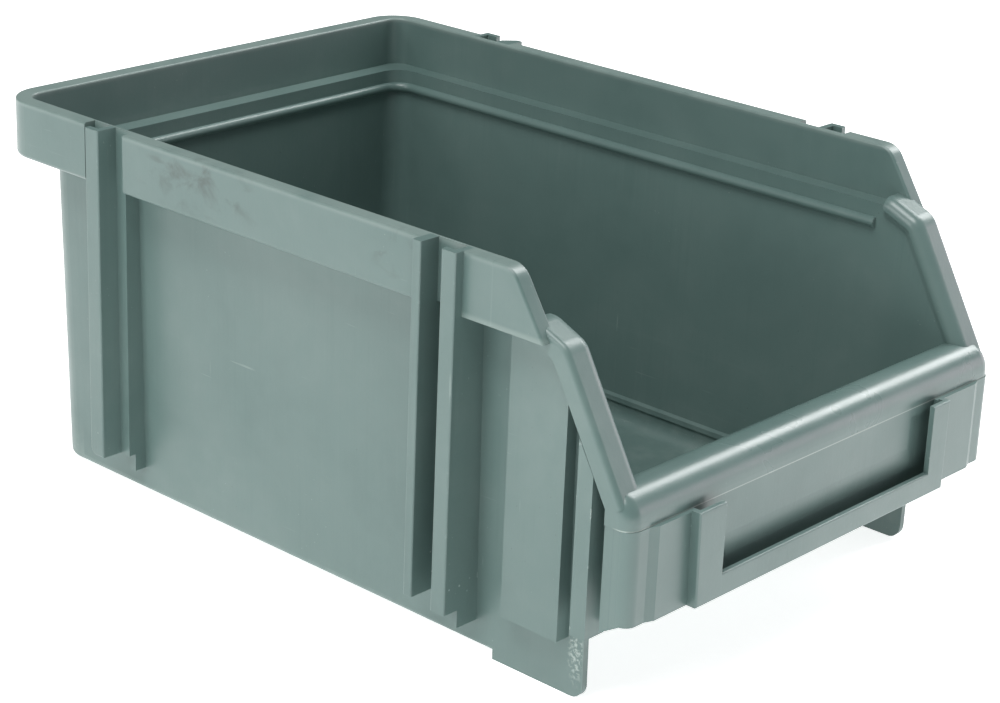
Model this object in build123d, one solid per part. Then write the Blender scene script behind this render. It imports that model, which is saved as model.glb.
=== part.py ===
from build123d import *
import math
import os

# Stackable storage bin, millimetres.  +Z up, the open front faces -Y, X runs across the bin.
# The origin is the centre of the overall footprint, on the plane the feet stand on.
#
# Places on the bin are given as
#   inset : distance inward from the outer face of the rim band, on the left (-1) or right (+1) side
#   depth : distance forward from the rear face of the rim
#   height: distance above the plane the feet stand on

# Overall envelope
RIM_WIDTH = 105.0
RIM_TOP = 73.0
REAR_FACE = 79.1
LEFT = -1
RIGHT = 1

# Tub
FLOOR_UNDER = 1.4
FLOOR_TOP = 2.7
WALL_TOP = 62.0
WALL_THICKNESS = 1.2
SIDE_INSET_LOW = 6.4
SIDE_INSET_HIGH = 5.4
REAR_DEPTH_LOW = 7.2
REAR_DEPTH_HIGH = 6.4
TUB_CORNER = 6.2
TUB_INNER_CORNER = 4.5
CORNER_END = 15.0
FRONT_FOOT_DEPTH = 123.5
FRONT_TOP_DEPTH = 147.2
FRONT_PLATE = 1.35
BASE_ROUND = 1.0
COVE_RADIUS = 2.6
RIDGE_LOW = 6.8
RIDGE_HIGH = 8.4
RIDGE_PROUD = 0.35

# Rim collar, its outer bands and the ledge inside it
COLLAR_INNER = 3.2
BAND_THICKNESS = 2.4
REAR_COLLAR_THICKNESS = 3.7
COLLAR_CORNER = 7.5
COLLAR_INNER_CORNER = 3.4
REAR_BAND_END = 25.2
RIM_SLANT_TOP = 130.1
RIM_SLANT_LOW = 137.2
RIM_SLANT_ROUND = 4.0
LEDGE_TOP = 63.2
LEDGE_FRONT = 133.0
INNER_BEAD_HEIGHT = 59.5
INNER_BEAD_RADIUS = 1.0
INNER_BEAD_FRONT = 131.0

# Slanted side edges, 30 degrees from the vertical, with a rounded bead along them
SLANT_SIN = math.sin(math.radians(30))
SLANT_COS = math.cos(math.radians(30))
SLANT_LINE = 113.5
BEAD_INSET = 4.6
BEAD_HALF_WIDTH = 3.1
BEAD_RISE = 2.5
BEAD_START = 133.0
BEAD_BASE_START = 62.35
BEAD_FLAT_END = 133.7
BEAD_KNEE = (138.7, 60.2)
BEAD_BEND = 1.7
BEAD_OUTER_ROUND = 1.0
BEAD_INNER_ROUND = 2.2
BEAD_SKIRT = 0.95

# Rolled front lip
LIP_DEPTH = 150.65
LIP_HEIGHT = 36.55
LIP_RADIUS = 4.8
LIP_WALL = 1.35
LIP_INSET = 1.5
LIP_LEG = 1.05
LIP_END_ROUND = 2.6
MITRE_LAP = 0.8

# Nose: the apron that hangs from the lip
NOSE_BOTTOM = 19.0
NOSE_HEEL = 16.7
NOSE_HEEL_FRONT = 154.0
NOSE_TOP = LIP_HEIGHT - LIP_LEG
NOSE_INSET = 1.7
NOSE_REAR = 150.1
NOSE_FRONT = 155.6
NOSE_PLATE = 1.4
PANEL_FRONT = 156.3
PANEL_INSET = 6.0
PANEL_BEVEL = 1.8

# Label holder, an open-topped frame standing off the front panel
HOLDER_FRONT = 158.2
HOLDER_PLATE = 1.0
HOLDER_BOTTOM = 18.9
HOLDER_BAR_TOP = 23.1
HOLDER_TOP = 35.8
HOLDER_LEFT = (16.0, 22.3)
HOLDER_RIGHT = (81.3, 86.3)
HOLDER_RETURN = 1.1
WINDOW_DEPTH = 155.45
WINDOW_HOLLOW = 154.95

# Link rails on the outside of the side walls
LINK_REACH = 1.8
LINK_PLATE = 1.3
HOOK_BOTTOM = 9.4
FRONT_HOOK_BOTTOM = 14.2
FRONT_HOOK_DEPTHS = (144.2, 147.4)

# Feet
FOOT_REAR = 123.5
FOOT_FRONT = 143.5
FOOT_ROUND = 2.6
WALL_STEP = 16.0


def across(side, inset):
    """X of a point at an inset from the rim band on one side."""
    return side * (RIM_WIDTH / 2 - inset)


def wall_inset(height):
    """Inset of the drafted outer face of a side wall."""
    draft = (SIDE_INSET_LOW - SIDE_INSET_HIGH) / (WALL_TOP - FLOOR_UNDER)
    return SIDE_INSET_LOW - (height - FLOOR_UNDER) * draft


def rear_depth(height):
    """Depth of the drafted outer face of the rear wall."""
    draft = (REAR_DEPTH_LOW - REAR_DEPTH_HIGH) / (WALL_TOP - FLOOR_UNDER)
    return REAR_DEPTH_LOW - (height - FLOOR_UNDER) * draft


def front_depth(height):
    """Depth of the outer face of the slanted front wall."""
    slope = (FRONT_TOP_DEPTH - FRONT_FOOT_DEPTH) / (NOSE_TOP - FLOOR_UNDER)
    return FRONT_FOOT_DEPTH + (height - FLOOR_UNDER) * slope


def slant_depth(height, line=SLANT_LINE):
    """Depth of a line parallel to the slanted side edge, at one height."""
    return (line - SLANT_SIN * (height - RIM_TOP)) / SLANT_COS


def block(side, insets, depths, heights):
    """Box between two insets, two depths and two heights."""
    x0, x1 = sorted(across(side, inset) for inset in insets)
    y0, y1 = sorted(REAR_FACE - depth for depth in depths)
    z0, z1 = heights
    centre = Pos((x0 + x1) / 2, (y0 + y1) / 2, (z0 + z1) / 2)
    return centre * Box(x1 - x0, y1 - y0, z1 - z0)


def profile(points, side, insets):
    """Side-view outline of (depth, height) points, spanning two insets."""
    x0, x1 = sorted(across(side, inset) for inset in insets)
    corners = [(x0, REAR_FACE - depth, height) for depth, height in points]
    face = make_face(Polyline(*corners, close=True))
    return extrude(face, amount=x1 - x0, dir=(1, 0, 0))


def section(points, side, depths):
    """Cross-section outline of (inset, height) points, running between two depths."""
    start, end = depths
    corners = [(across(side, inset), REAR_FACE - end, height) for inset, height in points]
    face = make_face(Polyline(*corners, close=True))
    return extrude(face, amount=end - start, dir=(0, 1, 0))


def plan(points, side, heights):
    """Plan outline of (inset, depth) points, rising between two heights."""
    corners = [(across(side, inset), REAR_FACE - depth, heights[0]) for inset, depth in points]
    face = make_face(Polyline(*corners, close=True))
    return extrude(face, amount=heights[1] - heights[0], dir=(0, 0, 1))


def rounded_plan(inset, rear, front, radius, height):
    """Flat outline across the whole bin with its two rear corners rounded."""
    width = RIM_WIDTH - 2 * inset
    outline = Pos(0, REAR_FACE - (rear + front) / 2, height) * Rectangle(width, front - rear)
    return fillet(outline.vertices().sort_by(Axis.Y)[-2:], radius)


def tub_outline(height, offset=0.0, corner=TUB_CORNER):
    """Outline of the tub at one height, moved inward by an offset."""
    return rounded_plan(
        wall_inset(height) + offset,
        rear_depth(height) + offset,
        front_depth(height),
        corner,
        height,
    )


def outside(side):
    """Space outside the drafted side wall and the thin rim wall."""
    edge = [
        (wall_inset(0.0), 0.0),
        (wall_inset(WALL_TOP), WALL_TOP),
        (BAND_THICKNESS, WALL_TOP),
        (BAND_THICKNESS, RIM_TOP),
        (-10.0, RIM_TOP),
        (-10.0, 0.0),
    ]
    return section(edge, side, (0.0, 160.0))


def under_slant(side, line=SLANT_LINE):
    """Space below and behind a line along the slanted side edge."""
    edge = [
        (-5.0, -5.0),
        (-5.0, RIM_TOP),
        (slant_depth(RIM_TOP, line), RIM_TOP),
        (slant_depth(-5.0, line), -5.0),
    ]
    return profile(edge, side, (-10.0, 20.0))


def soften(piece, radius, chosen):
    """Round the chosen edges of one piece."""
    return fillet(piece.edges().filter_by(chosen), radius)


def near(value, target):
    """True when two lengths agree to a hundredth of a millimetre."""
    return abs(value - target) < 0.01


# ---------------------------------------------------------------------------
# Tub
# ---------------------------------------------------------------------------


def floor_panel():
    """Flat floor with rounded rear corners and lower edge, notched where the feet pass it."""
    panel = loft([tub_outline(FLOOR_UNDER), tub_outline(FLOOR_TOP)])
    front = REAR_FACE - FRONT_FOOT_DEPTH

    def low_edge(edge):
        box = edge.bounding_box()
        return near(box.max.Z, FLOOR_UNDER) and box.max.Y > front + 0.1

    panel = soften(panel, BASE_ROUND, low_edge)
    for side in (LEFT, RIGHT):
        panel -= foot_zone(side)
    return panel


def foot_zone(side):
    """Space that a foot fills at the edge of the floor."""
    inner = wall_inset(FLOOR_UNDER) + WALL_THICKNESS
    return block(side, (0, inner), (FOOT_REAR, FOOT_FRONT), (0, FLOOR_TOP))


def tub_space():
    """Space between the tub's walls."""
    levels = (FLOOR_TOP, WALL_TOP)
    return loft([tub_outline(h, WALL_THICKNESS, TUB_INNER_CORNER) for h in levels])


def rear_wall():
    """Rear wall with its two rounded corners."""
    outer = loft([tub_outline(FLOOR_TOP), tub_outline(WALL_TOP)])
    return (outer - tub_space()) & block(LEFT, (-1, 106), (0, CORNER_END), (FLOOR_TOP, WALL_TOP))


def side_wall(side):
    """Drafted side wall from the rear corner forward, stepped back below the nose."""
    faces = [
        (wall_inset(FLOOR_TOP), FLOOR_TOP),
        (wall_inset(WALL_TOP), WALL_TOP),
        (wall_inset(WALL_TOP) + WALL_THICKNESS, WALL_TOP),
        (wall_inset(FLOOR_TOP) + WALL_THICKNESS, FLOOR_TOP),
    ]
    slab = section(faces, side, (CORNER_END, NOSE_REAR))
    step = block(side, (0, 12), (FOOT_FRONT, NOSE_REAR + 1), (0, WALL_STEP))
    return (slab & under_slant(side)) - step


def front_wall():
    """Slanted front wall between the side walls, under the rolled lip."""
    faces = [
        (front_depth(FLOOR_TOP) - FRONT_PLATE, FLOOR_TOP),
        (front_depth(FLOOR_TOP), FLOOR_TOP),
        (front_depth(NOSE_TOP), NOSE_TOP),
        (front_depth(NOSE_TOP) - FRONT_PLATE, NOSE_TOP),
    ]
    wall = profile(faces, LEFT, (5, 100))
    for side in (LEFT, RIGHT):
        beyond = [
            (wall_inset(0.0) + WALL_THICKNESS, 0.0),
            (wall_inset(WALL_TOP) + WALL_THICKNESS, WALL_TOP),
            (0.0, WALL_TOP),
            (0.0, 0.0),
        ]
        wall -= section(beyond, side, (120, 160))
    return wall


def low_ridge(side):
    """Shallow step along the foot of a side wall, inside the tub."""
    inner = WALL_THICKNESS
    proud = WALL_THICKNESS + RIDGE_PROUD
    faces = [
        (wall_inset(RIDGE_LOW) + inner, RIDGE_LOW),
        (wall_inset(RIDGE_LOW) + proud, RIDGE_LOW),
        (wall_inset(RIDGE_HIGH - 0.6) + proud, RIDGE_HIGH - 0.6),
        (wall_inset(RIDGE_HIGH) + inner, RIDGE_HIGH),
    ]
    return section(faces, side, (CORNER_END, front_depth(RIDGE_LOW) - FRONT_PLATE))


def side_cove(side):
    """Rounded inside corner between the floor and a side wall."""
    foot = wall_inset(FLOOR_TOP) + WALL_THICKNESS
    top = FLOOR_TOP + COVE_RADIUS
    head = wall_inset(top) + WALL_THICKNESS
    end = REAR_FACE - (front_depth(FLOOR_TOP) - FRONT_PLATE)
    bulge = COVE_RADIUS * (1 - math.sqrt(0.5))
    a = (across(side, foot), end, FLOOR_TOP)
    b = (across(side, foot + COVE_RADIUS), end, FLOOR_TOP)
    c = (across(side, foot + bulge), end, FLOOR_TOP + bulge)
    d = (across(side, head), end, top)
    face = make_face([Line(a, b), ThreePointArc(b, c, d), Line(d, a)])
    length = front_depth(FLOOR_TOP) - FRONT_PLATE - CORNER_END
    return extrude(face, amount=length, dir=(0, 1, 0))


# ---------------------------------------------------------------------------
# Rim collar, bands, ledge and the bead below the ledge
# ---------------------------------------------------------------------------


def rear_collar():
    """Rear part of the rim with both rounded corners, as far as the first link gaps."""
    height = RIM_TOP - WALL_TOP
    outer = rounded_plan(0, 0, 60, COLLAR_CORNER, WALL_TOP)
    inner = rounded_plan(COLLAR_INNER, REAR_COLLAR_THICKNESS, 60, COLLAR_INNER_CORNER, WALL_TOP)
    collar = extrude(outer, amount=height) - extrude(inner, amount=height)
    collar &= block(LEFT, (-1, RIM_WIDTH + 1), (-1, REAR_BAND_END), (WALL_TOP, RIM_TOP))
    cut_y = REAR_FACE - REAR_BAND_END

    def outer_low(edge):
        box = edge.bounding_box()
        beyond = abs(edge.center().X) > RIM_WIDTH / 2 - 3 or edge.center().Y > REAR_FACE - 3
        return near(box.max.Z, WALL_TOP) and beyond and box.max.Y > cut_y + 0.1

    collar = soften(collar, 0.9, outer_low)

    def top_edge(edge):
        box = edge.bounding_box()
        return near(box.min.Z, RIM_TOP) and box.max.Y > cut_y + 0.1

    return soften(collar, 0.45, top_edge)


def rim_end_outline(start):
    """Side view of the rim from a start depth to its slanted, rounded front end."""
    corners = [
        (0, REAR_FACE - start, WALL_TOP),
        (0, REAR_FACE - start, RIM_TOP),
        (0, REAR_FACE - RIM_SLANT_TOP, RIM_TOP),
        (0, REAR_FACE - RIM_SLANT_LOW, WALL_TOP),
    ]
    face = make_face(Polyline(*corners, close=True))
    return face


def rim_run(side, insets, start):
    """Length of rim from a start depth to the slanted front end."""
    x0, x1 = sorted(across(side, inset) for inset in insets)
    run = extrude(Pos(x0, 0, 0) * rim_end_outline(start), amount=x1 - x0, dir=(1, 0, 0))

    def front_top(edge):
        middle = edge.center()
        return near(middle.Y, REAR_FACE - RIM_SLANT_TOP) and near(middle.Z, RIM_TOP)

    return soften(run, RIM_SLANT_ROUND, front_top)


def round_line(piece, x, radius, low=False):
    """Round the long edge of a rim piece at one X, along the top and slant or the underside."""

    def chosen(edge):
        box = edge.bounding_box()
        on_line = near(box.min.X, x) and near(box.max.X, x)
        level = near(box.min.Z, WALL_TOP) and near(box.max.Z, WALL_TOP)
        upright = box.max.Y - box.min.Y < 0.01
        return on_line and not upright and level == low

    return soften(piece, radius, chosen)


def thin_collar(side):
    """Thin rim wall of one side, behind the bands."""
    wall = rim_run(side, (BAND_THICKNESS, COLLAR_INNER), REAR_BAND_END)
    return round_line(wall, across(side, COLLAR_INNER), 0.45)


def middle_band(side, depths):
    """Rim band between the rear and middle link rails."""
    band = block(side, (0, BAND_THICKNESS), depths, (WALL_TOP, RIM_TOP))
    band = round_line(band, across(side, 0), 0.45)
    return round_line(band, across(side, 0), 0.6, low=True)


def front_band(side, start):
    """Rim band from the middle link hook to the slanted front end."""
    band = rim_run(side, (0, BAND_THICKNESS), start)
    return round_line(band, across(side, 0), 0.45)


def rear_ledge():
    """Seat across the rear for the bin stacked above, with its rounded corners."""
    outer = rounded_plan(COLLAR_INNER, REAR_COLLAR_THICKNESS, 60, COLLAR_INNER_CORNER, WALL_TOP)
    inset = wall_inset(WALL_TOP) + WALL_THICKNESS
    depth = rear_depth(WALL_TOP) + WALL_THICKNESS
    opening = rounded_plan(inset, depth, 70, TUB_INNER_CORNER, WALL_TOP)
    rise = LEDGE_TOP - WALL_TOP
    seat = extrude(outer, amount=rise) - extrude(opening, amount=rise)
    return seat & block(LEFT, (-1, RIM_WIDTH + 1), (-1, CORNER_END), (WALL_TOP, LEDGE_TOP))


def side_ledge(side):
    """Narrow seat along one side for the bin stacked above."""
    inner = wall_inset(WALL_TOP) + WALL_THICKNESS
    return block(side, (COLLAR_INNER, inner), (CORNER_END, LEDGE_FRONT), (WALL_TOP, LEDGE_TOP))


def inner_bead_ring():
    """Half-round bead below the ledge, along both sides and the rear."""
    inset = wall_inset(INNER_BEAD_HEIGHT) + WALL_THICKNESS
    rear = REAR_FACE - rear_depth(INNER_BEAD_HEIGHT) - WALL_THICKNESS
    front = REAR_FACE - INNER_BEAD_FRONT
    corners = [
        (across(LEFT, inset), front, INNER_BEAD_HEIGHT),
        (across(LEFT, inset), rear, INNER_BEAD_HEIGHT),
        (across(RIGHT, inset), rear, INNER_BEAD_HEIGHT),
        (across(RIGHT, inset), front, INNER_BEAD_HEIGHT),
    ]
    path = FilletPolyline(*corners, radius=TUB_INNER_CORNER)
    disc = Plane(origin=corners[0], z_dir=(0, 1, 0)) * Circle(INNER_BEAD_RADIUS)
    return sweep(disc, path=path)


# ---------------------------------------------------------------------------
# Slanted edges, lip, nose and label holder
# ---------------------------------------------------------------------------


def bead_section(side):
    """Cross-section of an edge bead: rounded top, and a skirt down its outer side."""
    top = Pos(0, BEAD_RISE / 2 - 2) * Rectangle(2 * BEAD_HALF_WIDTH, BEAD_RISE + 4)
    outer = top.vertices().sort_by_distance((side * BEAD_HALF_WIDTH, BEAD_RISE))[0]
    top = fillet(outer, BEAD_OUTER_ROUND)
    inner = top.vertices().sort_by_distance((-side * BEAD_HALF_WIDTH, BEAD_RISE))[0]
    top = fillet(inner, BEAD_INNER_ROUND)
    top = top & Pos(0, 5) * Rectangle(20, 10)
    skirt = Pos(side * (BEAD_HALF_WIDTH - 0.6), -BEAD_SKIRT / 2) * Rectangle(1.2, BEAD_SKIRT)
    base = Pos(0, -0.4) * Rectangle(2 * BEAD_HALF_WIDTH - 1.0, 0.8)
    return top + skirt + base


def edge_bead(side):
    """Rounded bead that bends over from the rim end and runs down the slanted edge."""
    end_height = LIP_HEIGHT - LIP_LEG - 4
    knee_depth, knee_height = BEAD_KNEE
    corners = [
        (across(side, BEAD_INSET), REAR_FACE - BEAD_START, BEAD_BASE_START),
        (across(side, BEAD_INSET), REAR_FACE - BEAD_FLAT_END, BEAD_BASE_START),
        (across(side, BEAD_INSET), REAR_FACE - knee_depth, knee_height),
        (across(side, BEAD_INSET), REAR_FACE - slant_depth(end_height), end_height),
    ]
    path = FilletPolyline(*corners, radius=BEAD_BEND)
    start = Plane(origin=corners[0], x_dir=(1, 0, 0), z_dir=(0, -1, 0))
    return sweep(start * bead_section(side), path=path)


def before_mitre(side):
    """Space above the plane, square to the slanted edge, where a bead runs into the lip."""
    up = (-SLANT_SIN * 40, SLANT_COS * 40)
    out = (SLANT_COS * 12, SLANT_SIN * 12)
    depth = LIP_DEPTH - SLANT_SIN * MITRE_LAP
    height = LIP_HEIGHT + SLANT_COS * MITRE_LAP
    low = (depth - out[0], height - out[1])
    high = (depth + out[0], height + out[1])
    outline = [low, high, (high[0] + up[0], high[1] + up[1]), (low[0] + up[0], low[1] + up[1])]
    return profile(outline, side, (-1, 12))


def lip_body(inset, radius):
    """Half-round bar with a short straight skirt, across the front of the bin."""
    width = RIM_WIDTH - 2 * inset
    disc = Circle(radius) & Pos(0, radius) * Rectangle(4 * radius, 2 * radius)
    skirt = Pos(0, -LIP_LEG / 2) * Rectangle(2 * radius, LIP_LEG)
    centre = (-width / 2, REAR_FACE - LIP_DEPTH, LIP_HEIGHT)
    face = Plane(origin=centre, x_dir=(0, 1, 0), z_dir=(1, 0, 0)) * (disc + skirt)
    return extrude(face, amount=width)


def lip_outer():
    """Outside shape of the rolled lip, with its rounded ends."""
    body = lip_body(LIP_INSET, LIP_RADIUS)
    reach = RIM_WIDTH / 2 - LIP_INSET

    def end_edge(edge):
        box = edge.bounding_box()
        at_end = near(abs(box.min.X), reach) and near(box.min.X, box.max.X)
        return at_end and box.max.Z > LIP_HEIGHT - LIP_LEG + 0.01

    return soften(body, LIP_END_ROUND, end_edge)


def nose_side(side):
    """End of the nose: side plate, dropping to a heel, and the corner round to the front."""
    inner = NOSE_INSET + NOSE_PLATE
    back = NOSE_FRONT - NOSE_PLATE
    outline = [
        (NOSE_INSET, NOSE_REAR),
        (NOSE_INSET, NOSE_FRONT),
        (PANEL_INSET, NOSE_FRONT),
        (PANEL_INSET, back),
        (inner, back),
        (inner, NOSE_REAR),
    ]
    plate = plan(outline, side, (NOSE_HEEL, NOSE_TOP))

    def corner(edge):
        middle = edge.center()
        upright = edge.bounding_box().max.Z - edge.bounding_box().min.Z > 5
        at_x = near(middle.X, across(side, NOSE_INSET))
        return upright and at_x and near(middle.Y, REAR_FACE - NOSE_FRONT)

    below = [
        (NOSE_REAR, NOSE_HEEL),
        (NOSE_HEEL_FRONT, NOSE_BOTTOM),
        (NOSE_FRONT + 1, NOSE_BOTTOM),
        (NOSE_FRONT + 1, NOSE_HEEL),
    ]
    return soften(plate, 2.2, corner) - profile(below, side, (0, 10))


def front_panel():
    """Flat apron panel that hangs from the lip, set back between the label holder's uprights."""
    back = NOSE_FRONT - NOSE_PLATE
    outline = [
        (PANEL_INSET, back),
        (PANEL_INSET, NOSE_FRONT),
        (PANEL_INSET + PANEL_BEVEL, PANEL_FRONT),
        (RIM_WIDTH - PANEL_INSET - PANEL_BEVEL, PANEL_FRONT),
        (RIM_WIDTH - PANEL_INSET, NOSE_FRONT),
        (RIM_WIDTH - PANEL_INSET, back),
    ]
    panel = plan(outline, LEFT, (NOSE_BOTTOM, NOSE_TOP))
    low = HOLDER_BOTTOM + HOLDER_RETURN
    left = HOLDER_LEFT[0] + HOLDER_RETURN
    right = HOLDER_RIGHT[1] - HOLDER_RETURN
    window = block(LEFT, (left, right), (WINDOW_DEPTH, PANEL_FRONT), (low, NOSE_TOP))
    above_bar = [
        (WINDOW_DEPTH, HOLDER_BAR_TOP + 5.0),
        (WINDOW_HOLLOW, HOLDER_BAR_TOP + 0.6),
        (WINDOW_HOLLOW, low),
        (WINDOW_DEPTH, low),
    ]
    window += profile(above_bar, LEFT, (left, right))
    for edge, inward in ((HOLDER_LEFT[1], 1), (HOLDER_RIGHT[0], -1)):
        jamb = left if inward == 1 else right
        beside = [
            (jamb, WINDOW_DEPTH),
            (jamb, WINDOW_HOLLOW),
            (edge + 0.6 * inward, WINDOW_HOLLOW),
            (edge + 3.2 * inward, WINDOW_DEPTH),
        ]
        window += plan(beside, LEFT, (low, NOSE_TOP - 1.5))
    return panel - window


def holder_bar():
    """Bottom bar of the label holder, with the return that closes it to the panel."""
    span = (HOLDER_LEFT[1], HOLDER_RIGHT[0])
    plate_back = HOLDER_FRONT - HOLDER_PLATE
    plate = block(LEFT, span, (plate_back, HOLDER_FRONT), (HOLDER_BOTTOM, HOLDER_BAR_TOP))
    foot = block(
        LEFT,
        span,
        (PANEL_FRONT, HOLDER_FRONT),
        (HOLDER_BOTTOM, HOLDER_BOTTOM + HOLDER_RETURN),
    )
    bar = plate + foot

    def front_long(edge):
        box = edge.bounding_box()
        long = box.max.X - box.min.X > 10
        return long and near(edge.center().Y, REAR_FACE - HOLDER_FRONT)

    return soften(bar, 0.35, front_long)


def holder_upright(insets, outer, lean):
    """One upright of the label holder; its outer side is closed to the panel."""
    low, high = insets
    inner = high if outer == low else low
    step = HOLDER_RETURN if inner > outer else -HOLDER_RETURN
    plate_back = HOLDER_FRONT - HOLDER_PLATE
    corners = [
        (outer, HOLDER_BOTTOM),
        (outer - lean, HOLDER_TOP),
        (inner, HOLDER_TOP),
        (inner, HOLDER_BOTTOM),
    ]
    face = section(corners, LEFT, (plate_back, HOLDER_FRONT))
    wall = [
        (outer, HOLDER_BOTTOM),
        (outer - lean, HOLDER_TOP),
        (outer - lean + step, HOLDER_TOP),
        (outer + step, HOLDER_BOTTOM),
    ]
    side_wall = section(wall, LEFT, (PANEL_FRONT, plate_back))
    foot = block(
        LEFT,
        insets,
        (PANEL_FRONT, plate_back),
        (HOLDER_BOTTOM, HOLDER_BOTTOM + HOLDER_RETURN),
    )
    upright = face + side_wall + foot

    def front_border(edge):
        box = edge.bounding_box()
        on_face = near(box.min.Y, REAR_FACE - HOLDER_FRONT) and near(box.min.Y, box.max.Y)
        at_joint = near(box.min.X, across(LEFT, inner)) and near(box.max.X, box.min.X)
        return on_face and not at_joint

    return soften(upright, 0.35, front_border)


# ---------------------------------------------------------------------------
# Link rails and feet
# ---------------------------------------------------------------------------


def link_flange(side, depths, heights, web_depths):
    """L-shaped link rail: a web standing out from the wall and a flange along its edge."""
    flange = block(side, (-LINK_REACH, -LINK_REACH + LINK_PLATE), depths, heights)
    web = block(side, (-LINK_REACH, 12), web_depths, heights)
    return (flange + web) & outside(side)


def round_outer(piece, side, radius=0.3):
    """Round the long outer edges of a link rail."""
    x = across(side, -LINK_REACH)

    def chosen(edge):
        box = edge.bounding_box()
        return near(box.min.X, x) and near(box.max.X, x) and box.max.Z - box.min.Z > 5

    return soften(piece, radius, chosen)


def rear_hook(side):
    """Rear link hook; the flange points rearward on the left and forward on the right."""
    heights = (HOOK_BOTTOM, RIM_TOP)
    if side == RIGHT:
        return round_outer(link_flange(side, (25.2, 28.9), heights, (25.2, 26.5)), side)
    hook = link_flange(side, (27.5, 31.1), heights, (29.8, 31.1))

    def rear_low(edge):
        middle = edge.center()
        return near(middle.Y, REAR_FACE - 27.5) and near(middle.Z, HOOK_BOTTOM)

    return round_outer(soften(hook, 1.5, rear_low), side)


def mid_hook(side):
    """Middle link hook; the left one has a reduced tail below its flange."""
    if side == RIGHT:
        hook = link_flange(side, (113.7, 117.0), (HOOK_BOTTOM, RIM_TOP), (113.7, 115.0))
        return round_outer(hook, side)
    hook = link_flange(side, (116.5, 119.7), (HOOK_BOTTOM, RIM_TOP), (118.4, 119.7))
    tail = block(side, (1.4, 12), (118.4, 119.7), (6.1, HOOK_BOTTOM))
    return round_outer(hook + (tail & outside(side)), side)


def link_rail(side, depths):
    """Plain link rail: one plate standing straight out from the wall."""
    rail = block(side, (-LINK_REACH, 12), depths, (10.1, RIM_TOP)) & outside(side)
    return round_outer(rail, side)


def ramped_rail(side):
    """Link rail whose rear side ramps up to it from the rim."""
    outline = [
        (12.0, 31.5),
        (0.6, 31.5),
        (-LINK_REACH, 33.6),
        (-LINK_REACH, 34.9),
        (12.0, 34.9),
    ]
    return plan(outline, side, (10.1, RIM_TOP)) & outside(side)


def rear_pad():
    """Narrow flat pad in front of the rear hook, set back at its foot."""
    pad = block(LEFT, (2.45, 12), (31.1, 33.6), (HOOK_BOTTOM, WALL_TOP))
    pad += block(LEFT, (3.9, 12), (31.1, 33.6), (6.0, HOOK_BOTTOM))
    return pad & outside(LEFT)


def front_pad():
    """Wide flat pad between the middle hook and the front one."""
    pad = block(LEFT, (3.3, 12), (127.7, 140.1), (10.6, WALL_TOP))
    pad &= outside(LEFT)
    return pad & under_slant(LEFT)


def front_hook():
    """Front link hook beside the nose, flush with the edge bead above it."""
    outer = BEAD_INSET - BEAD_HALF_WIDTH
    rear, front = FRONT_HOOK_DEPTHS
    heights = (FRONT_HOOK_BOTTOM, RIM_TOP)
    flange = block(LEFT, (outer, outer + LINK_PLATE), (rear, front), heights)
    web = block(LEFT, (outer, 12), (front - LINK_PLATE, front), heights)
    hook = (flange + web) & under_slant(LEFT, SLANT_LINE - BEAD_SKIRT)
    return hook & outside(LEFT)


def foot(side):
    """Foot under the front of a side wall, flush with its outer face."""
    inset = wall_inset(FLOOR_UNDER)
    insets = (inset, inset + WALL_THICKNESS)
    plate = block(side, insets, (FOOT_REAR, FOOT_FRONT), (0, FLOOR_TOP))

    def front_low(edge):
        middle = edge.center()
        return near(middle.Y, REAR_FACE - FOOT_FRONT) and near(middle.Z, 0.0)

    return soften(plate, FOOT_ROUND, front_low)


# ---------------------------------------------------------------------------
# Assembly of the named pieces
# ---------------------------------------------------------------------------

parts = {}

lip_shape = lip_outer()
hook_space = [
    block(side, (-1, wall_inset(LIP_HEIGHT)), (140, NOSE_REAR), (0, RIM_TOP))
    for side in (LEFT, RIGHT)
]
lip = lip_shape - lip_body(LIP_INSET + LIP_WALL, LIP_RADIUS - LIP_WALL)
lip = lip - hook_space[0] - hook_space[1]

parts["floor_panel"] = floor_panel()
parts["rear_wall"] = rear_wall()
parts["left_side_wall"] = side_wall(LEFT) - lip
parts["right_side_wall"] = side_wall(RIGHT) - lip
parts["front_wall"] = front_wall()
parts["front_lip"] = lip

parts["rear_collar"] = rear_collar()
parts["rear_ledge"] = rear_ledge()
for side, name in ((LEFT, "left"), (RIGHT, "right")):
    parts[name + "_collar"] = thin_collar(side)
    parts[name + "_ledge"] = side_ledge(side)
    parts[name + "_low_ridge"] = low_ridge(side)
    parts[name + "_floor_cove"] = side_cove(side)
    parts[name + "_foot"] = foot(side)
    parts[name + "_nose_side"] = nose_side(side)
parts["left_rim_band_middle"] = middle_band(LEFT, (35.8, 110.1))
parts["left_rim_band_front"] = front_band(LEFT, 119.7)
parts["right_rim_band_middle"] = middle_band(RIGHT, (34.9, 109.2))
parts["right_rim_band_front"] = front_band(RIGHT, 119.5)

ring = inner_bead_ring() & tub_space()
zones = {
    "rear_inner_bead": block(LEFT, (2, RIM_WIDTH - 2), (0, CORNER_END), (55, WALL_TOP)),
    "left_inner_bead": block(LEFT, (wall_inset(58), 20), (CORNER_END, 140), (55, WALL_TOP)),
    "right_inner_bead": block(RIGHT, (wall_inset(58), 20), (CORNER_END, 140), (55, WALL_TOP)),
}
for name, zone in zones.items():
    parts[name] = ring & zone

for side, name in ((LEFT, "left"), (RIGHT, "right")):
    bead = edge_bead(side) & block(side, (0, 12), (120, 160), (NOSE_TOP, RIM_TOP))
    bead = bead & before_mitre(side)
    bead = bead - (lip_shape - hook_space[0] - hook_space[1]) - parts[name + "_side_wall"]
    bead = bead - parts[name + "_collar"] - parts[name + "_rim_band_front"]
    parts[name + "_edge_bead"] = bead

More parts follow.
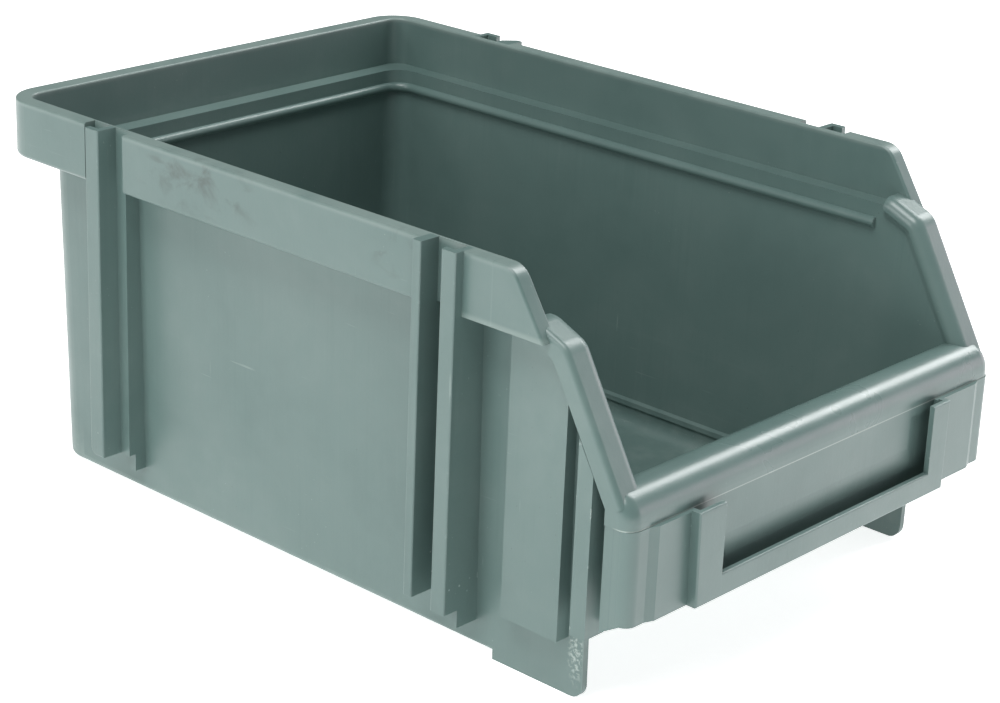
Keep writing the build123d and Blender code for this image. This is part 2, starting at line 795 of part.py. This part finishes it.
parts["front_panel"] = front_panel()
parts["label_holder_bar"] = holder_bar()
parts["label_holder_left"] = holder_upright(HOLDER_LEFT, HOLDER_LEFT[0], 0.5)
parts["label_holder_right"] = holder_upright(HOLDER_RIGHT, HOLDER_RIGHT[1], 0.0)

parts["left_rear_hook"] = rear_hook(LEFT)
parts["left_rear_pad"] = rear_pad()
parts["left_mid_rail"] = link_rail(LEFT, (110.1, 112.0))
parts["left_mid_hook"] = mid_hook(LEFT)
parts["left_front_pad"] = front_pad() - parts["left_edge_bead"]
parts["left_front_hook"] = front_hook() - parts["left_edge_bead"] - parts["front_lip"]
parts["right_rear_hook"] = rear_hook(RIGHT)
parts["right_rear_rail"] = ramped_rail(RIGHT)
parts["right_mid_hook"] = mid_hook(RIGHT)

os.makedirs("parts", exist_ok=True)
for name, piece in parts.items():
    export_step(piece, "parts/" + name + ".step")
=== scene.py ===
import bpy
from mathutils import Matrix, Vector


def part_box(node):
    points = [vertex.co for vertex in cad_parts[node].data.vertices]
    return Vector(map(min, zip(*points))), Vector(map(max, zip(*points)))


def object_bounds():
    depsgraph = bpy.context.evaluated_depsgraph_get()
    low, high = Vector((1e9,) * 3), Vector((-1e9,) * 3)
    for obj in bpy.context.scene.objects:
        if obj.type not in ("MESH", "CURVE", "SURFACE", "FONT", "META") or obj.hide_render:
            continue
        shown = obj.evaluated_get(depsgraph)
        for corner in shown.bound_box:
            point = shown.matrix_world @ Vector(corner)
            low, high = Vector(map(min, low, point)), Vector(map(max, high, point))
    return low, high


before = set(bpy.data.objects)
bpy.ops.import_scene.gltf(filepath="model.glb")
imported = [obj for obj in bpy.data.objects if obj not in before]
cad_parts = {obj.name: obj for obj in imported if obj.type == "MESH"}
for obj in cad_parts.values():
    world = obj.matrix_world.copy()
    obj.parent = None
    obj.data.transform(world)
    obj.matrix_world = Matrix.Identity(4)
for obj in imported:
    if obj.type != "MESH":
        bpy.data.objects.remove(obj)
cad_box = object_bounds()

# All lengths are metres, and texture scales are features per metre.


# ---------------------------------------------------------------- camera

SENSOR_WIDTH_MM = 36.0
LENS_MM = 91.71
CAMERA_PLACE = Vector((-0.33076, -0.29907, 0.2022))
# Unit vectors along the view's own directions.
VIEW_RIGHT = Vector((0.67859048, -0.73352097, 0.03823536))
VIEW_DOWN = Vector((-0.23916217, -0.26987115, -0.93272237))
VIEW_AHEAD = Vector((0.69449004, 0.62379207, -0.35856246))

camera_data = bpy.data.cameras.new("view_camera")
camera_data.sensor_width = SENSOR_WIDTH_MM
camera_data.lens = LENS_MM
camera_data.dof.use_dof = False
camera = bpy.data.objects.new("view_camera", camera_data)
bpy.context.scene.collection.objects.link(camera)
camera_turn = Matrix((VIEW_RIGHT, -VIEW_DOWN, -VIEW_AHEAD)).transposed().to_4x4()
camera.matrix_world = Matrix.Translation(CAMERA_PLACE) @ camera_turn
bpy.context.scene.camera = camera
bpy.context.scene.view_settings.view_transform = "Standard"


# ---------------------------------------------------------------- node helpers

NOISE_ROUGHNESS = 0.55
BEVEL_SAMPLES = 6
SAME_WAY = 0.995    # cosine between the rounded and the flat normal, away from any edge
FULL_EDGE = 0.9     # the same cosine where an edge counts in full
PATCH_CORE = 0.35   # part of a patch's radius that has its full strength
LINE_CORE = 0.3     # part of a line's half width that has its full strength


class Nodes:
    """Builds one material's node tree, with every texture placed by object coordinates."""

    def __init__(self, name):
        self.material = bpy.data.materials.new(name)
        self.material.use_nodes = True
        self.tree = self.material.node_tree
        self.bsdf = self.tree.nodes["Principled BSDF"]
        self.place = self.tree.nodes.new("ShaderNodeTexCoord").outputs["Object"]
        split = self.tree.nodes.new("ShaderNodeSeparateXYZ")
        self.tree.links.new(self.place, split.inputs[0])
        self.y = split.outputs["Y"]
        self.z = split.outputs["Z"]

    def put(self, socket, value):
        """Set a socket to a number, or link another socket to it."""
        if isinstance(value, bpy.types.NodeSocket):
            self.tree.links.new(value, socket)
        else:
            socket.default_value = value

    def math(self, operation, a, b=0.0):
        """Result of one operation on two numbers."""
        node = self.tree.nodes.new("ShaderNodeMath")
        node.operation = operation
        self.put(node.inputs[0], a)
        self.put(node.inputs[1], b)
        return node.outputs[0]

    def times(self, *factors):
        """Product of any count of numbers."""
        total = factors[0]
        for factor in factors[1:]:
            total = self.math("MULTIPLY", total, factor)
        return total

    def vector_math(self, operation, a, b=None):
        """Node of one operation on one or two vectors."""
        node = self.tree.nodes.new("ShaderNodeVectorMath")
        node.operation = operation
        self.put(node.inputs[0], a)
        if b is not None:
            self.put(node.inputs[1], b)
        return node

    def stretch(self, scale, turn=(0.0, 0.0, 0.0)):
        """Texture place, scaled along X, Y and Z and then turned, in radians."""
        node = self.tree.nodes.new("ShaderNodeMapping")
        self.put(node.inputs["Vector"], self.place)
        node.inputs["Rotation"].default_value = turn
        node.inputs["Scale"].default_value = scale
        return node.outputs[0]

    def noise(self, scale, detail=3.0, distortion=0.0, place=None):
        """Soft noise that varies around 0.5."""
        node = self.tree.nodes.new("ShaderNodeTexNoise")
        self.put(node.inputs["Vector"], place or self.place)
        node.inputs["Scale"].default_value = scale
        node.inputs["Detail"].default_value = detail
        node.inputs["Roughness"].default_value = NOISE_ROUGHNESS
        node.inputs["Distortion"].default_value = distortion
        return node.outputs["Fac"]

    def cells(self, scale, place=None):
        """Distance to the nearest of many scattered points."""
        node = self.tree.nodes.new("ShaderNodeTexVoronoi")
        self.put(node.inputs["Vector"], place or self.place)
        node.inputs["Scale"].default_value = scale
        return node.outputs["Distance"]

    def ramp(self, value, low, high, out_low=0.0, out_high=1.0):
        """Smooth step of a value between two levels."""
        node = self.tree.nodes.new("ShaderNodeMapRange")
        node.interpolation_type = "SMOOTHSTEP"
        self.put(node.inputs["Value"], value)
        for name, number in (("From Min", low), ("From Max", high),
                             ("To Min", out_low), ("To Max", out_high)):
            node.inputs[name].default_value = number
        return node.outputs["Result"]

    def mix(self, factor, a, b):
        """Blend of two colours."""
        node = self.tree.nodes.new("ShaderNodeMix")
        node.data_type = "RGBA"
        self.put(node.inputs["Factor"], factor)
        for socket, colour in (("A", a), ("B", b)):
            self.put(node.inputs[socket], (*colour, 1.0) if isinstance(colour, tuple) else colour)
        return node.outputs["Result"]

    def patch(self, centre, radii):
        """One at a centre, falling to nothing at an ellipsoid's surface."""
        away = self.vector_math("SUBTRACT", self.place, centre)
        scaled = self.vector_math("DIVIDE", away.outputs[0], radii)
        length = self.vector_math("LENGTH", scaled.outputs[0])
        return self.ramp(length.outputs["Value"], PATCH_CORE, 1.0, 1.0, 0.0)

    def line(self, coordinate, centre, half_width):
        """Thin line across one coordinate."""
        distance = self.math("ABSOLUTE", self.math("SUBTRACT", coordinate, centre))
        return self.ramp(distance, half_width * LINE_CORE, half_width, 1.0, 0.0)

    def rims(self, radius):
        """Strength of the convex and concave edges within a radius."""
        bevel = self.tree.nodes.new("ShaderNodeBevel")
        bevel.samples = BEVEL_SAMPLES
        bevel.inputs["Radius"].default_value = radius
        flat = self.tree.nodes.new("ShaderNodeNewGeometry").outputs["Normal"]
        cosine = self.vector_math("DOT_PRODUCT", bevel.outputs[0], flat)
        return self.ramp(cosine.outputs["Value"], SAME_WAY, FULL_EDGE, 0.0, 1.0)

    def bump(self, height, distance, normal=None, strength=1.0):
        """Normal of a relief, laid over another normal where one is given."""
        node = self.tree.nodes.new("ShaderNodeBump")
        node.inputs["Strength"].default_value = strength
        node.inputs["Distance"].default_value = distance
        self.put(node.inputs["Height"], height)
        if normal:
            self.put(node.inputs["Normal"], normal)
        return node.outputs[0]


# ---------------------------------------------------------------- plastic

SAGE = (0.100, 0.160, 0.149)
SAGE_DEEP = (0.083, 0.137, 0.128)
SAGE_PALE = (0.130, 0.188, 0.176)
# White of stress marks, and also of the painted highlights on the rim's top and the lip's edge.
STRESS_WHITE_AND_HIGHLIGHT = (0.34, 0.40, 0.37)
GRIME = (0.050, 0.062, 0.056)

PLASTIC_IOR = 1.5
SKIN_WEIGHT = 0.10
SKIN_ROUGHNESS = 0.22

CLOUD_SCALE = 26.0
MOTTLE_SCALE = 210.0
RUN_SCALES = (900.0, 900.0, 16.0)
RUN_FADE_SCALE = 45.0
HAIR_ACROSS = ((1500.0, 60.0, 1100.0), (0.5, 0.2, 0.9))
HAIR_UPRIGHT = ((1300.0, 1200.0, 55.0), (0.7, -0.5, 0.1))
SCUFF_FIELD_SCALE = 38.0
SPECK_SCALE = 720.0
SPECK_FIELD_SCALE = 60.0
PIT_SCALE = 430.0
PIT_SHAPE = (1.0, 1.3, 0.8)
PIT_FIELD_SCALE = 33.0
SHEEN_SCALE = 55.0
SHEEN_SPREAD = (-0.05, 0.07)
SINK_SCALE = 16.0
SKIN_SCALE = 1300.0

WEAR_RADIUS = 0.00035
WEAR_SCALE = 160.0
CHIP_RADIUS = 0.0005
CHIP_SCALE = 520.0

# How far each layer takes the colour to its own.
PALE_RUN_COVER = 0.28
DEEP_RUN_COVER = 0.30
SCRATCH_COVER = 0.45
SPECK_COVER = 0.7
PIT_COVER = 0.8
WEAR_COVER = 0.75
CHIP_COVER = 0.8

# What each layer adds to the roughness.
SCRATCH_ROUGHNESS = 0.18
SPECK_ROUGHNESS = 0.25
WEAR_ROUGHNESS = 0.08
MARK_ROUGHNESS = 0.2

SINK_DEPTH = 0.0009
SKIN_DEPTH = 0.00003
RUN_DEPTH = 0.00004
SCRATCH_DEPTH = 0.00003

MARK_COLOURS = {
    "grime": GRIME,
    "white": STRESS_WHITE_AND_HIGHLIGHT,
    "pale": SAGE_PALE,
    "deep": SAGE_DEEP,
}
ROUGH_MARKS = ("grime", "white")


def mottled(n):
    """Two scales of soft mottling between the three sages."""
    cloud = n.ramp(n.noise(CLOUD_SCALE, 4.0, 0.6), 0.32, 0.70)
    mottle = n.ramp(n.noise(MOTTLE_SCALE), 0.25, 0.75, 0.35, 0.85)
    return n.mix(mottle, n.mix(cloud, SAGE_DEEP, SAGE_PALE), SAGE)


def streaked(n, colour, run, drag):
    """A colour with pale and deep streaks that follow the flow and come and go."""
    fade = n.noise(RUN_FADE_SCALE, 2.0)
    pale = n.times(n.ramp(run, 0.54, 0.74), n.ramp(fade, 0.40, 0.66), drag)
    colour = n.mix(n.times(pale, PALE_RUN_COVER), colour, SAGE_PALE)
    deep = n.times(n.ramp(run, 0.46, 0.30), n.ramp(fade, 0.35, 0.60), drag)
    return n.mix(n.times(deep, DEEP_RUN_COVER), colour, SAGE_DEEP)


def scratches(n, scuffs):
    """Fine scratches two ways, gathered in patches."""
    across = n.noise(1.0, 2.0, 0.25, n.stretch(*HAIR_ACROSS))
    upright = n.noise(1.0, 2.0, 0.25, n.stretch(*HAIR_UPRIGHT))
    field = n.ramp(n.noise(SCUFF_FIELD_SCALE, 3.0, 0.4), 0.52, 0.66)
    either = n.math("MAXIMUM", n.ramp(across, 0.70, 0.78), n.ramp(upright, 0.71, 0.79))
    return n.times(either, field, scuffs)


def dust_specks(n, dust):
    """Pale specks in patches."""
    grain = n.ramp(n.cells(SPECK_SCALE), 0.10, 0.04)
    return n.times(grain, n.ramp(n.noise(SPECK_FIELD_SCALE, 2.0), 0.56, 0.66), dust)


def dark_pits(n, dust):
    """Dirt held in small pits, in patches."""
    pits = n.ramp(n.cells(PIT_SCALE, n.stretch(PIT_SHAPE)), 0.07, 0.03)
    return n.times(pits, n.ramp(n.noise(PIT_FIELD_SCALE, 2.0), 0.55, 0.66), dust)


def edge_wear_masks(n, wear):
    """Soft wear along the edges, and chips on them."""
    soft = n.times(n.rims(WEAR_RADIUS), n.ramp(n.noise(WEAR_SCALE), 0.30, 0.62), wear)
    chips = n.times(n.rims(CHIP_RADIUS), n.ramp(n.noise(CHIP_SCALE, 2.0), 0.63, 0.68), wear)
    return soft, chips


def relief(n, run, scratch):
    """Normal with sink waves, a fine skin, the flow's lines and the scratches."""
    sink = n.bump(n.noise(SINK_SCALE, 2.0), SINK_DEPTH, strength=0.35)
    skin = n.bump(n.noise(SKIN_SCALE), SKIN_DEPTH, sink, 0.6)
    lines = n.bump(run, RUN_DEPTH, skin, 0.35)
    return n.bump(n.math("SUBTRACT", 1.0, scratch), SCRATCH_DEPTH, lines, 0.6)


def plastic(name, roughness, edge_wear, scuffs, dust, drag, marks):
    """Moulded sage polypropylene, with a finish's own marks and painted highlights laid over it.
    """
    n = Nodes(name)
    run = n.noise(1.0, 4.0, 0.0, n.stretch(RUN_SCALES))
    scratch = scratches(n, scuffs)
    specks = dust_specks(n, dust)

    colour = streaked(n, mottled(n), run, drag)
    colour = n.mix(n.times(scratch, SCRATCH_COVER), colour, STRESS_WHITE_AND_HIGHLIGHT)
    colour = n.mix(n.times(specks, SPECK_COVER), colour, STRESS_WHITE_AND_HIGHLIGHT)
    colour = n.mix(n.times(dark_pits(n, dust), PIT_COVER), colour, GRIME)

    smoothest, roughest = (roughness + change for change in SHEEN_SPREAD)
    rough = n.ramp(n.noise(SHEEN_SCALE, 4.0, 0.5), 0.25, 0.75, smoothest, roughest)
    rough = n.math("ADD", rough, n.times(scratch, SCRATCH_ROUGHNESS))
    rough = n.math("ADD", rough, n.times(specks, SPECK_ROUGHNESS))

    if edge_wear:
        soft, chips = edge_wear_masks(n, edge_wear)
        colour = n.mix(n.times(soft, WEAR_COVER), colour, SAGE_PALE)
        colour = n.mix(n.times(chips, CHIP_COVER), colour, STRESS_WHITE_AND_HIGHLIGHT)
        rough = n.math("ADD", rough, n.times(soft, WEAR_ROUGHNESS))

    for add_marks in marks:
        for kind, strength, shape in add_marks(n):
            mask = n.times(shape, strength)
            colour = n.mix(mask, colour, MARK_COLOURS[kind])
            if kind in ROUGH_MARKS:
                rough = n.math("ADD", rough, n.times(mask, MARK_ROUGHNESS))

    n.put(n.bsdf.inputs["Normal"], relief(n, run, scratch))
    n.put(n.bsdf.inputs["Base Color"], colour)
    n.put(n.bsdf.inputs["Roughness"], rough)
    n.bsdf.inputs["IOR"].default_value = PLASTIC_IOR
    n.bsdf.inputs["Coat Weight"].default_value = SKIN_WEIGHT
    n.bsdf.inputs["Coat Roughness"].default_value = SKIN_ROUGHNESS
    return n.material


# ---------------------------------------------------------------- marks
# Each function gives its marks, painted highlights among them, as kind, strength and shape, the
# lowest first.

# The front is towards low Y. A pair of levels is where a mark is gone and where it is full.

REAR_RUB_PLACE = (0.020, 0.001)     # ahead of the middle band's rear end, above its middle
REAR_RUB_RADII = (0.004, 0.021, 0.0075)
FRONT_RUB_PLACE = (0.006, 0.004)    # behind the middle band's front end, below its top
FRONT_RUB_RADII = (0.004, 0.007, 0.006)
BAND_SEAM_PLACE = 0.0063            # ahead of the front band's rear end
BAND_SEAM_WIDTH = 0.00022
BAND_EDGE_LEVELS = (0.0012, 0.0003)     # above the front band's lower edge
HOOK_SPECK_LEVELS = (0.034, 0.012)
FOOT_SPOT_PLACE = (0.0016, 0.0085)  # behind the foot's front, above the ground
FOOT_SPOT_RADII = (0.003, 0.0022, 0.0075)
FOOT_EDGE_HIGHLIGHT_WIDTH = 0.0004
FOOT_EDGE_HIGHLIGHT_LEVELS = (0.017, 0.015)
FOOT_BASE_LEVELS = (0.0016, 0.0002)
INSIDE_RUB_LEVELS = (0.050, 0.012)
SETTLED_LEVELS = (0.014, 0.003)
NOSE_SEAMS = ((0.0018, 0.55), (0.0031, 0.40))   # ahead of the nose side's rear, strength
NOSE_SEAM_WIDTH = 0.00012
LIP_EDGE_HIGHLIGHT_WIDTH = 0.00028
LIP_EDGE_HIGHLIGHT_LEVELS = (0.004, 0.002)       # behind the lip's front
RIM_HIGHLIGHT_LEVELS = (0.0012, 0.0002)  # below the rim's top


def band_marks(n):
    """Dark rub marks and paler polish along the near rim band."""
    low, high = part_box("left_rim_band_middle")
    middle_height = (low[2] + high[2]) / 2
    rear_place = (low[0], high[1] - REAR_RUB_PLACE[0], middle_height + REAR_RUB_PLACE[1])
    front_place = (low[0], low[1] + FRONT_RUB_PLACE[0], high[2] - FRONT_RUB_PLACE[1])
    rub = n.noise(170.0, 5.0, 0.5, n.stretch((1.0, 1.0, 1.4)))
    polish = n.ramp(n.noise(70.0, 2.0, 0.8), 0.5, 0.7)
    smear = n.times(n.patch(rear_place, REAR_RUB_RADII), n.ramp(rub, 0.46, 0.68))
    smear_front = n.times(n.patch(front_place, FRONT_RUB_RADII), n.ramp(rub, 0.50, 0.70))
    return [("pale", 0.22, polish), ("grime", 0.6, smear), ("grime", 0.55, smear_front)]


def front_band_marks(n):
    """One moulding line down the front band, and a whitened lower edge."""
    low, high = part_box("left_rim_band_front")
    seam = n.line(n.y, high[1] - BAND_SEAM_PLACE, BAND_SEAM_WIDTH)
    lower = n.ramp(n.z, *(low[2] + level for level in BAND_EDGE_LEVELS))
    return [("pale", 0.55, seam), ("white", 0.25, lower)]


def hook_marks(n):
    """Pale rubs, and whitened specks low on the upright faces of the link hooks."""
    rub = n.ramp(n.noise(300.0, 3.0, 0.0, n.stretch((1.0, 1.0, 0.12))), 0.58, 0.7)
    chip = n.ramp(n.cells(620.0), 0.16, 0.07)
    low_down = n.ramp(n.z, *HOOK_SPECK_LEVELS)
    specks = n.times(chip, n.ramp(n.noise(95.0, 2.0), 0.54, 0.62), low_down)
    return [("pale", 0.3, rub), ("white", 0.9, specks)]


def foot_marks(n):
    """White abrasion where the near foot and wall end drag on shelves, and a painted highlight
    line down the foot's front edge.
    """
    low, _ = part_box("left_foot")
    spot = n.patch((low[0], low[1] + FOOT_SPOT_PLACE[0], FOOT_SPOT_PLACE[1]), FOOT_SPOT_RADII)
    flaked = n.ramp(n.noise(1500.0, 4.0, 0.4), 0.46, 0.64)
    # A pale line painted down the foot's front edge: a painted highlight.
    rim = n.times(n.line(n.y, low[1], FOOT_EDGE_HIGHLIGHT_WIDTH), n.ramp(n.z, *FOOT_EDGE_HIGHLIGHT_LEVELS))
    base = n.times(n.ramp(n.z, *FOOT_BASE_LEVELS), n.ramp(n.noise(260.0), 0.42, 0.62))
    return [("white", 0.8, n.times(spot, flaked)), ("pale", 0.75, rim), ("pale", 0.35, base)]


def inside_marks(n):
    """Long faint rubs low on the walls and settled dust near the floor."""
    rub = n.noise(1.0, 3.0, 0.5, n.stretch((500.0, 14.0, 420.0)))
    low_rub = n.times(n.ramp(rub, 0.60, 0.72), n.ramp(n.z, *INSIDE_RUB_LEVELS))
    settled = n.times(n.ramp(n.z, *SETTLED_LEVELS), n.ramp(n.noise(140.0, 4.0), 0.42, 0.7))
    return [("pale", 0.30, low_rub), ("white", 0.14, settled)]


def nose_marks(n):
    """Two mould parting lines on the nose side, and faint rubs."""
    _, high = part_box("left_nose_side")
    seams = [("deep", strength, n.line(n.y, high[1] - ahead, NOSE_SEAM_WIDTH))
             for ahead, strength in NOSE_SEAMS]
    rub = n.ramp(n.noise(180.0, 3.0, 0.6), 0.55, 0.72)
    return seams + [("pale", 0.3, rub)]


def lip_marks(n):
    """Painted highlight line along the lip's lower edge, and hand polish."""
    low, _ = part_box("front_lip")
    # A white line painted along the lip's lower edge: a painted highlight.
    foremost = n.ramp(n.y, *(low[1] + level for level in LIP_EDGE_HIGHLIGHT_LEVELS))
    lip_edge_highlight = n.times(n.line(n.z, low[2], LIP_EDGE_HIGHLIGHT_WIDTH), foremost)
    polish = n.ramp(n.noise(60.0, 3.0, 0.5), 0.45, 0.7)
    return [("white", 0.85, lip_edge_highlight), ("pale", 0.2, polish)]


def rim_painted_highlight(n):
    """Top of the rim painted paler and whiter: a painted highlight where the top light falls."""
    top = n.ramp(n.z, *(cad_box[1][2] - level for level in RIM_HIGHLIGHT_LEVELS))
    # The pale and white painted over the rim's top are a painted highlight.
    painted_top_light = n.times(top, n.ramp(n.noise(90.0, 4.0, 0.4), 0.25, 0.6, 0.35, 0.9))
    return [("pale", 0.7, painted_top_light), ("white", 0.24, painted_top_light)]


# ---------------------------------------------------------------- finishes

# Roughness, edge wear, scuffs, dust, drag marks, and the functions of its own marks.
FINISHES = {
    "tub": (0.38, 0.0, 0.7, 0.6, 0.8, (inside_marks,)),
    "rim": (0.36, 0.0, 0.6, 0.4, 0.4, (rim_painted_highlight,)),
    "band": (0.35, 0.7, 0.9, 0.4, 0.3, (rim_painted_highlight, band_marks)),
    "front_band": (0.35, 0.7, 0.8, 0.4, 0.3, (rim_painted_highlight, front_band_marks)),
    "hook": (0.37, 0.8, 0.7, 0.5, 0.9, (hook_marks,)),
    "pad": (0.37, 0.0, 0.6, 0.4, 0.9, ()),
    "foot": (0.40, 0.0, 0.9, 0.6, 0.6, (foot_marks,)),
    "lip": (0.29, 0.0, 0.22, 0.3, 0.1, (lip_marks,)),
    "bead": (0.37, 0.0, 0.7, 0.4, 0.2, ()),
    "nose": (0.36, 0.0, 0.5, 0.4, 0.6, (nose_marks,)),
    "panel": (0.35, 0.0, 0.5, 0.4, 0.5, ()),
    "holder": (0.36, 0.6, 0.6, 0.3, 0.4, ()),
}

# The near wall takes the foot's finish, since the foot's abrasion runs on into it.
FINISH_OF = {
    "left_side_wall": "foot",
    "right_side_wall": "tub",
    "left_rim_band_middle": "band",
    "left_rim_band_front": "front_band",
    "front_lip": "lip",
    "front_panel": "panel",
}
FINISH_BY_WORD = (
    ("rim_band", "rim"),
    ("collar", "rim"),
    ("ledge", "rim"),
    ("inner_bead", "rim"),
    ("edge_bead", "bead"),
    ("hook", "hook"),
    ("rail", "hook"),
    ("pad", "pad"),
    ("foot", "foot"),
    ("nose", "nose"),
    ("label_holder", "holder"),
)


def finish_of(name):
    """Finish of one node, from its own entry, a word in its name, or the tub's."""
    if name in FINISH_OF:
        return FINISH_OF[name]
    for word, finish in FINISH_BY_WORD:
        if word in name:
            return finish
    return "tub"


materials = {finish: plastic("sage_" + finish, *look) for finish, look in FINISHES.items()}
for name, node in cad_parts.items():
    node.data.materials.clear()
    node.data.materials.append(materials[finish_of(name)])


# ---------------------------------------------------------------- studio

FLOOR_SIDE = 8.0
FLOOR_WARM = (0.90, 0.90, 0.895)
FLOOR_WHITE = (0.93, 0.93, 0.93)
FLOOR_ROUGHNESS = 0.75
FLOOR_GLOW = 0.82
PAPER_GRAIN_DEPTH = 0.00005
WORLD_COLOUR = (0.90, 0.97, 1.0, 1.0)
WORLD_STRENGTH = 0.12
WHITE = (1.0, 1.0, 1.0)
ROSE = (1.0, 0.80, 0.88)

# Name, place, point it is aimed at, size, watts and colour.
LIGHTS = (
    ("key_left", (-1.15, 0.30, 0.50), (0, 0, 0.03), (0.55, 0.5), 4.9, WHITE),
    ("top_soft", (-0.45, -0.10, 1.05), (0, 0, 0.04), (0.6, 0.5), 10.5, WHITE),
    ("lip_strip", (0.72, -0.12, 0.70), (0, -0.07, 0.04), (0.30, 0.75), 7.5, WHITE),
    ("low_front", (0.85, -0.50, 0.19), (0, -0.08, 0.03), (0.9, 0.34), 2.7, ROSE),
)


def floor_material():
    """Matt glowing white with a trace of paper grain."""
    n = Nodes("studio_white")
    tone = n.ramp(n.noise(9.0), 0.2, 0.8)
    n.put(n.bsdf.inputs["Base Color"], n.mix(tone, FLOOR_WARM, FLOOR_WHITE))
    n.put(n.bsdf.inputs["Normal"], n.bump(n.noise(600.0), PAPER_GRAIN_DEPTH))
    n.bsdf.inputs["Roughness"].default_value = FLOOR_ROUGHNESS
    n.bsdf.inputs["Emission Color"].default_value = (*WHITE, 1.0)
    n.bsdf.inputs["Emission Strength"].default_value = FLOOR_GLOW
    return n.material


def area_light(name, place, target, size, watts, colour):
    """Rectangular soft light aimed at a point."""
    data = bpy.data.lights.new(name, "AREA")
    data.shape = "RECTANGLE"
    data.size, data.size_y = size
    data.energy = watts
    data.color = colour
    light = bpy.data.objects.new(name, data)
    light.location = place
    aim = Vector(target) - Vector(place)
    light.rotation_euler = aim.to_track_quat("-Z", "Y").to_euler()
    bpy.context.scene.collection.objects.link(light)


bpy.ops.mesh.primitive_plane_add(size=FLOOR_SIDE, location=(0, 0, 0))
floor = bpy.context.object
floor.name = "studio_floor"
floor.data.materials.append(floor_material())

world = bpy.data.worlds.new("studio_world")
world.use_nodes = True
world.node_tree.nodes["Background"].inputs["Color"].default_value = WORLD_COLOUR
world.node_tree.nodes["Background"].inputs["Strength"].default_value = WORLD_STRENGTH
bpy.context.scene.world = world

for light in LIGHTS:
    area_light(*light)
